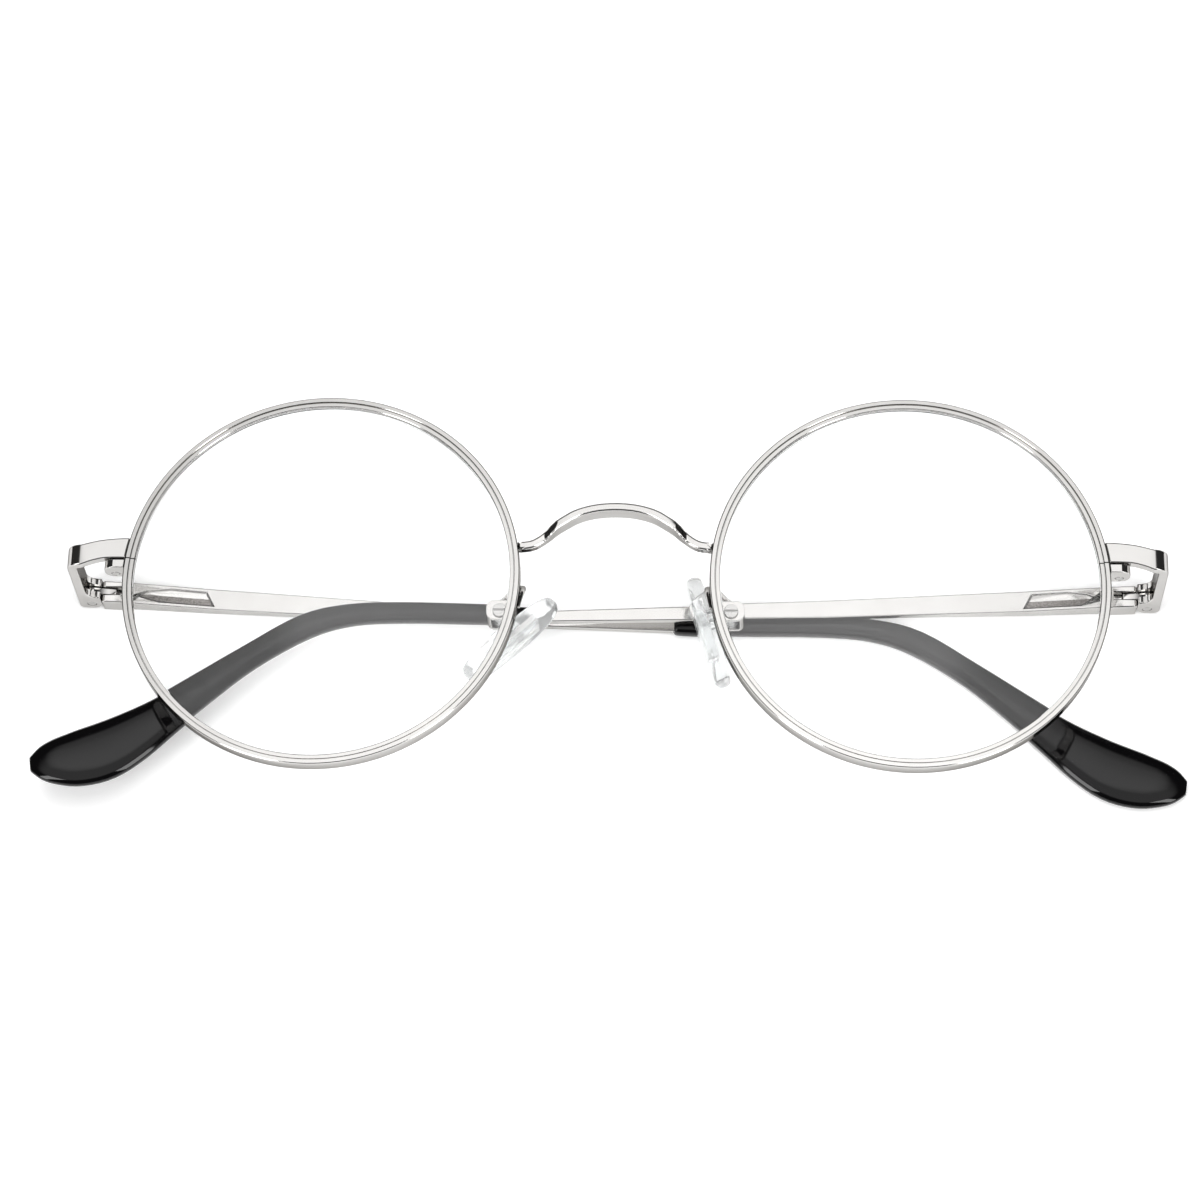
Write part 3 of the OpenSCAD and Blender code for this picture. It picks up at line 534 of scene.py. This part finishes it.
class EYEGLASSES_OT_lenses(bpy.types.Operator):
    """Lenses: clear curved discs with a bevelled edge in the groove"""

    bl_idname = "eyeglasses.lenses"
    bl_label = "Lenses"

    def execute(self, context):
        sizes = user_values("shape")
        edge = RIM_RADIUS - sizes.rim_width - LENS_ROOM
        tip = edge + LENS_V_REACH
        middle = -sizes.rim_depth / 2
        centre = sizes.lens_bulge - sizes.lens_radius
        rings = [edge * i / LENS_RINGS for i in range(LENS_RINGS + 1)]

        def surface(curve):
            """Radius and height of each ring on a round surface."""
            return [(ring, centre + math.sqrt(curve * curve - ring * ring)) for ring in rings]

        front = surface(sizes.lens_radius)
        back = surface(sizes.lens_radius - sizes.lens_thickness)
        v_edge = [
            (edge, middle + LENS_V_ROOT), (tip, middle + LENS_V_TIP),
            (tip, middle - LENS_V_TIP), (edge, middle - LENS_V_ROOT),
        ]
        for name, side in SIDES.items():
            bm = bmesh.new()
            line = [bm.verts.new((radius, 0, height)) for radius, height in front + v_edge + back[::-1]]
            edges = [bm.edges.new(pair) for pair in zip(line, line[1:])]
            bmesh.ops.spin(
                bm, geom=line + edges, cent=(0, 0, 0), axis=(0, 0, 1), angle=2 * math.pi,
                steps=sizes.rim_steps, use_merge=True,
            )
            bmesh.ops.remove_doubles(bm, verts=bm.verts, dist=JOINED_FINE)
            bmesh.ops.transform(bm, matrix=at_lens(side), verts=bm.verts)
            bmesh.ops.recalc_face_normals(bm, faces=bm.faces)
            add_piece(
                bm, f"{name}_lens_disc", "cast_resin_lens", "front", "lens_clear", [f"{name}_lens"],
                SHARP_SPUN)
        return {"FINISHED"}


class EYEGLASSES_OT_bridge(bpy.types.Operator):
    """Bridge: the saddle bar with rounded edges"""

    bl_idname = "eyeglasses.bridge"
    bl_label = "Bridge"

    def execute(self, context):
        piece = add_piece(
            whole_faced_copy("bridge"), "bridge_bar", "polished_plating", "front", "frame_metal", ["bridge"])
        round_edges(piece, "bridge")
        return {"FINISHED"}


class EYEGLASSES_OT_endpieces(bpy.types.Operator):
    """Endpieces and rim locks: straps with their hinge knuckles, and the blocks that close the rims"""

    bl_idname = "eyeglasses.endpieces"
    bl_label = "Endpieces and rim locks"

    def execute(self, context):
        for name, side in SIDES.items():
            for node in ("endpiece", "rim_lock_upper", "rim_lock_lower"):
                bm = whole_faced_copy(f"{name}_{node}")
                if node == "endpiece":
                    weigh_edges(bm, side)
                piece = add_piece(
                    bm, f"{name}_{node}_polished", "polished_plating", "front", "frame_metal",
                    [f"{name}_{node}"])
                round_edges(piece, node, weighed=node == "endpiece")
        return {"FINISHED"}


class EYEGLASSES_OT_temples(bpy.types.Operator):
    """Temples: polished bars, hinge tongues and black tips"""

    bl_idname = "eyeglasses.temples"
    bl_label = "Temples"

    def execute(self, context):
        for name, side in SIDES.items():
            bm = whole_faced_copy(f"{name}_temple_bar")
            self.grain_and_shade_scoop(bm, side)
            bar = add_piece(
                bm, f"{name}_temple_bar_polished", "polished_plating", f"{name}_temple", "frame_metal",
                [f"{name}_temple_bar"])
            # the second slot's grit finish also paints shade on the scoop's lower floor
            bar.data.materials.append(material("blasted_and_shaded_panel"))
            round_edges(bar, "temple_bar")
            tongue = add_piece(
                whole_faced_copy(f"{name}_hinge_tongue"), f"{name}_hinge_tongue_polished", "polished_plating",
                f"{name}_tongue", "frame_metal", [f"{name}_hinge_tongue"])
            round_edges(tongue, "hinge_tongue")
            add_piece(
                joined_copy(f"{name}_temple_tip"), f"{name}_tip_sleeve", "tumbled_black_acetate",
                f"{name}_temple", "tip_black", [f"{name}_temple_tip"], SHARP_CURVED)
        return {"FINISHED"}

    def grain_and_shade_scoop(self, bm, side):
        """Cuts the panel's floor along the bar's middle line, and gives its lower part the blasted finish
        with its painted shade.
        """
        sizes = user_values("shape")
        from_bar = from_temple(side)
        to_bar = from_bar.inverted()
        facing = to_bar.to_3x3()

        def floor(faces):
            """Each face of the floor, and its height with the fall of the bar's middle line taken out."""
            for face in faces:
                place = to_bar @ face.calc_center_median()
                inside = sizes.scoop_from < place.x < sizes.scoop_to + SCOOP_END_ROOM
                bar_face = BAR_FACE_HEIGHT - BAR_FACE_FALL * (place.x - BAR_FACE_FROM)
                below = place.z < bar_face - SCOOP_HALF_DEPTH
                if inside and below and (facing @ face.normal).z > LOOKS_INWARDS:
                    yield face, place.y + BAR_FALL * place.x

        bm.normal_update()
        faces = [face for face, height in floor(bm.faces)]
        around = {part for face in faces for part in (*face.edges, *face.verts)}
        on_line = from_bar @ Vector((SCOOP_MIDDLE, PIN_Y - BAR_FALL * SCOOP_MIDDLE, 0))
        across_line = from_bar.to_3x3() @ Vector((BAR_FALL, 1, 0))
        bmesh.ops.bisect_plane(
            bm, geom=[*faces, *around], dist=JOINED_FINE, plane_co=on_line, plane_no=across_line)
        # the floor is drawn flat, so its lower part gets painted shade of the concave floor, along with grit
        # for its real grain
        for face, height in floor(bm.faces):
            if height < PIN_Y:
                face.material_index = 1


class EYEGLASSES_OT_small_parts(bpy.types.Operator):
    """Screws, springs and their stops, pad arms, pad boxes and pad inserts"""

    bl_idname = "eyeglasses.small_parts"
    bl_label = "Small parts"

    def execute(self, context):
        rounded = {
            "hinge_screw": ("turned_steel", "screw_steel"),
            "rim_lock_screw": ("turned_steel", "screw_steel"),
            "pad_screw": ("turned_steel", "screw_steel"),
            "flex_stop": ("turned_steel", "screw_steel"),
            "pad_box": ("polished_plating", "frame_metal"),
            "pad_insert": ("moulded_polycarbonate", "insert_clear"),
        }
        wires = {
            "pad_arm": ("polished_plating", "frame_metal"),
            "flex_spring": ("turned_steel", "screw_steel"),
        }
        for name in SIDES:
            for node, (kind, slot) in rounded.items():
                piece = add_piece(
                    whole_faced_copy(f"{name}_{node}"), f"{name}_{node}_rounded", kind,
                    body_of_node(f"{name}_{node}"), slot, [f"{name}_{node}"])
                round_edges(piece, "small_part")
            for node, (kind, slot) in wires.items():
                add_piece(
                    joined_copy(f"{name}_{node}"), f"{name}_{node}_wire", kind,
                    body_of_node(f"{name}_{node}"), slot, [f"{name}_{node}"], SHARP_CURVED)
        return {"FINISHED"}


class EYEGLASSES_OT_pads(bpy.types.Operator):
    """Nose pads: clear soft ovals"""

    bl_idname = "eyeglasses.pads"
    bl_label = "Nose pads"

    def execute(self, context):
        for name in SIDES:
            add_piece(
                joined_copy(f"{name}_nose_pad"), f"{name}_soft_pad", "moulded_silicone", f"{name}_pad",
                "pad_clear", [f"{name}_nose_pad"], SHARP_SOFT)
        return {"FINISHED"}


class EYEGLASSES_OT_stage(bpy.types.Operator):
    """The pale table, the soft lights and the camera"""

    bl_idname = "eyeglasses.stage"
    bl_label = "Stage"

    def execute(self, context):
        scene = context.scene
        view = user_values("view")
        bm = bmesh.new()
        bmesh.ops.create_grid(bm, x_segments=1, y_segments=1, size=TABLE_REACH)
        mesh = bpy.data.meshes.new("table")
        bm.to_mesh(mesh)
        bm.free()
        table = bpy.data.objects.new("table", mesh)
        scene.collection.objects.link(table)
        mesh.materials.append(self.white_card(view))
        self.world(scene, view)
        self.lamps(scene)
        self.camera(scene, view)
        scene.view_settings.view_transform = "Standard"
        return {"FINISHED"}

    def white_card(self, view):
        """Matt white card that shows as white, also in metal and through glass, and keeps its shadows."""
        made, tree, shader, place = new_material("white_card")
        # pressed card is mottled by its fibres, which are finer than the 3 mm drawn here so that it shows
        fibre = add_node(tree, "ShaderNodeTexNoise", inputs={
            "Vector": place, "Scale": 1 / (3 * MM), "Detail": 2.0})
        tone = add_node(tree, "ShaderNodeMix", {"data_type": "RGBA"}, {
            "Factor": fibre.outputs["Fac"], MIX_A: linear("#EFEFEF"), MIX_B: linear("#F1F1F1")})
        set_inputs(tree, shader, {
            "Base Color": tone.outputs[MIX_RESULT], "Roughness": 0.9, "Specular IOR Level": 0.0})
        ray = add_node(tree, "ShaderNodeLightPath")
        seen = add_node(tree, "ShaderNodeMath", {"operation": "MAXIMUM"}, {
            0: ray.outputs["Is Camera Ray"], 1: ray.outputs["Is Transmission Ray"]})
        seen = add_node(tree, "ShaderNodeMath", {"operation": "MAXIMUM"}, {
            0: seen.outputs[0], 1: ray.outputs["Is Glossy Ray"]})
        lift = add_node(tree, "ShaderNodeMath", {"operation": "MULTIPLY"}, {
            0: seen.outputs[0], 1: view.floor_lift})
        glow = add_node(tree, "ShaderNodeEmission", inputs={"Strength": lift.outputs[0]})
        both = add_node(tree, "ShaderNodeAddShader", inputs={0: shader.outputs["BSDF"], 1: glow.outputs[0]})
        show_instead(tree, both.outputs[0])
        return made

    def world(self, scene, view):
        """White to the camera, and as light a bright sky and panel over a dark horizon."""
        world = bpy.data.worlds.new("soft_studio")
        scene.world = world
        world.use_nodes = True
        tree = world.node_tree
        tree.nodes.clear()
        where = add_node(tree, "ShaderNodeTexCoord").outputs["Generated"]
        parts = add_node(tree, "ShaderNodeSeparateXYZ", inputs={"Vector": where})
        sky = add_node(tree, "ShaderNodeMapRange", {"interpolation_type": "SMOOTHSTEP"}, {
            "Value": parts.outputs["Z"], "From Min": SKY_EDGE[0], "From Max": SKY_EDGE[1],
            "To Min": view.horizon_light, "To Max": view.sky_light})
        # the panel lies where level metal mirrors it to the camera
        turned = add_node(tree, "ShaderNodeVectorMath", {"operation": "DOT_PRODUCT"}, {
            0: where, 1: (0.0, math.cos(view.elevation), math.sin(view.elevation))})
        panel = add_node(tree, "ShaderNodeMapRange", {"interpolation_type": "SMOOTHSTEP"}, {
            "Value": turned.outputs["Value"], "From Min": PANEL_EDGE[0], "From Max": PANEL_EDGE[1],
            "To Min": 0.0, "To Max": view.panel_light})
        total = add_node(tree, "ShaderNodeMath", {"operation": "ADD"}, {
            0: sky.outputs["Result"], 1: panel.outputs["Result"]})
        tone = add_node(tree, "ShaderNodeMix", {"data_type": "RGBA"}, {
            "Factor": parts.outputs["Z"], MIX_A: linear("#FFFBF9"), MIX_B: linear("#FFFFFF")})
        # a view ray, straight or through glass, sees at least the plain white of the background
        ray = add_node(tree, "ShaderNodeLightPath")
        seen = add_node(tree, "ShaderNodeMath", {"operation": "MAXIMUM"}, {
            0: ray.outputs["Is Camera Ray"], 1: ray.outputs["Is Transmission Ray"]})
        strength = add_node(tree, "ShaderNodeMath", {"operation": "MAXIMUM"}, {
            0: total.outputs[0], 1: seen.outputs[0]})
        light = add_node(tree, "ShaderNodeBackground", inputs={
            "Color": tone.outputs[MIX_RESULT], "Strength": strength.outputs[0]})
        add_node(tree, "ShaderNodeOutputWorld", inputs={"Surface": light.outputs[0]})

    def lamps(self, scene):
        """A soft box overhead, a little behind, and a tall soft strip on each side in front."""
        for name, place, size, power, mirrored in LAMPS:
            data = bpy.data.lights.new(name, "AREA")
            data.shape = "RECTANGLE"
            data.size, data.size_y = size
            data.energy = power
            lamp = bpy.data.objects.new(name, data)
            lamp.location = place
            # the overhead box only lights; the world's panel is what the metal mirrors in its place
            lamp.visible_glossy = mirrored
            # lamps light through the lenses by their shadow rays, so that they aren't counted twice
            lamp.visible_transmission = False
            lamp.rotation_mode = "QUATERNION"
            lamp.rotation_quaternion = (-Vector(place)).to_track_quat("-Z", "Y")
            scene.collection.objects.link(lamp)

    def camera(self, scene, view):
        """The photograph's view: turned, tilted and rolled about the middle of the front."""
        back = Vector((0, -math.cos(view.elevation), math.sin(view.elevation)))
        right = Vector((1, 0, 0))
        up = back.cross(right)
        rolled_right = math.cos(view.roll) * right + math.sin(view.roll) * up
        rolled_up = math.cos(view.roll) * up - math.sin(view.roll) * right
        turn = Matrix.Rotation(view.yaw, 3, "Y")
        axes = Matrix((turn @ rolled_right, turn @ rolled_up, turn @ back)).transposed()
        data = bpy.data.cameras.new("camera")
        data.sensor_width = SENSOR_WIDTH
        data.lens = view.focal
        data.shift_x, data.shift_y = view.offset
        data.clip_start, data.clip_end = 0.01, 20.0
        camera = bpy.data.objects.new("camera", data)
        middle = Vector((0, 0, view.front_height))
        camera.matrix_world = Matrix.Translation(middle + turn @ back * view.distance) @ axes.to_4x4()
        scene.collection.objects.link(camera)
        scene.camera = camera


PIECES = (
    EYEGLASSES_OT_rims,
    EYEGLASSES_OT_lenses,
    EYEGLASSES_OT_bridge,
    EYEGLASSES_OT_endpieces,
    EYEGLASSES_OT_temples,
    EYEGLASSES_OT_small_parts,
    EYEGLASSES_OT_pads,
    EYEGLASSES_OT_stage,
)


class EYEGLASSES_PT_panel(bpy.types.Panel):
    """Lists the eyeglasses' pieces"""

    bl_idname = "EYEGLASSES_PT_panel"
    bl_label = "Round Eyeglasses"
    bl_space_type = "VIEW_3D"
    bl_region_type = "UI"
    bl_category = "Eyeglasses"

    def draw(self, context):
        for group in ("eyeglasses_finish", "eyeglasses_shape", "eyeglasses_view"):
            props = getattr(context.scene, group)
            for name in props.__annotations__:
                self.layout.prop(props, name)
        for piece in PIECES:
            self.layout.operator(piece.bl_idname)


GROUPS = {
    "eyeglasses_finish": EyeglassesFinish,
    "eyeglasses_shape": EyeglassesShape,
    "eyeglasses_view": EyeglassesView,
}


def register():
    for name, group in GROUPS.items():
        bpy.utils.register_class(group)
        setattr(bpy.types.Scene, name, PointerProperty(type=group))
    for piece in (*PIECES, EYEGLASSES_PT_panel):
        bpy.utils.register_class(piece)


def unregister():
    for piece in (EYEGLASSES_PT_panel, *reversed(PIECES)):
        bpy.utils.unregister_class(piece)
    for name, group in reversed(GROUPS.items()):
        delattr(bpy.types.Scene, name)
        bpy.utils.unregister_class(group)


def main():
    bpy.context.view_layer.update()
    register()
    bpy.ops.eyeglasses.rims()
    bpy.ops.eyeglasses.lenses()
    bpy.ops.eyeglasses.bridge()
    bpy.ops.eyeglasses.endpieces()
    bpy.ops.eyeglasses.temples()
    bpy.ops.eyeglasses.small_parts()
    bpy.ops.eyeglasses.pads()
    bpy.ops.eyeglasses.stage()


if __name__ == "__main__":
    main()
